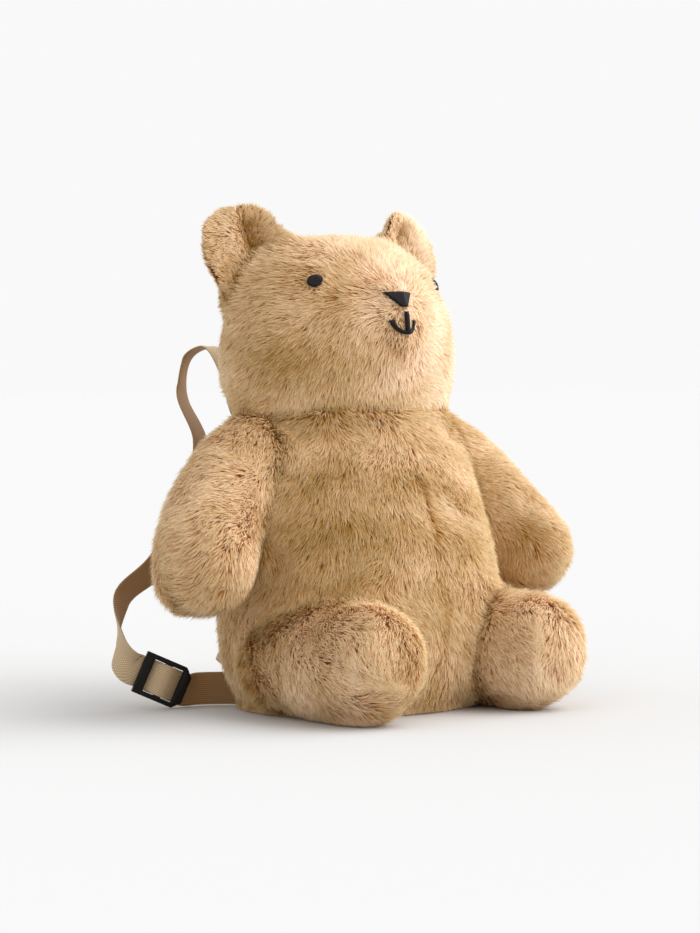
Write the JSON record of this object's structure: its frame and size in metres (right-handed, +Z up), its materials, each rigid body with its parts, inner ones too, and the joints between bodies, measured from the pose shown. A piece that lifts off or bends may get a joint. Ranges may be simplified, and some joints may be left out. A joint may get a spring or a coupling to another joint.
{
  "type": "kids backpack",
  "caption": "Plush child's backpack in the form of a seated teddy bear, with a hollow padded body, a back zip and two webbing shoulder straps.",
  "frame": {"origin": "middle of the flat seat that the bear sits on", "axes": "+Z up, the bear looks along -Y, its left side is +X"},
  "size_m": [0.3174, 0.2694, 0.3086],
  "materials": {
    "plush": "long beige faux fur",
    "webbing": "ribbed woven polyester webbing",
    "zip": "woven tape with moulded teeth",
    "plastic": "black moulded plastic, satin",
    "thread": "black satin-stitch embroidery"
  },
  "bodies": {
    "root": {"torso": "plush", "back_zip": "zip", "head": "plush", "nose": "thread", "mouth": "thread", "ear_right": "plush", "arm_right": "plush", "leg_right": "plush", "eye_right": "thread", "strap_right": "webbing", "adjuster_right": "plastic", "ear_left": "plush", "arm_left": "plush", "leg_left": "plush", "eye_left": "thread", "strap_left": "webbing", "adjuster_left": "plastic"}
  },
  "joints": []
}
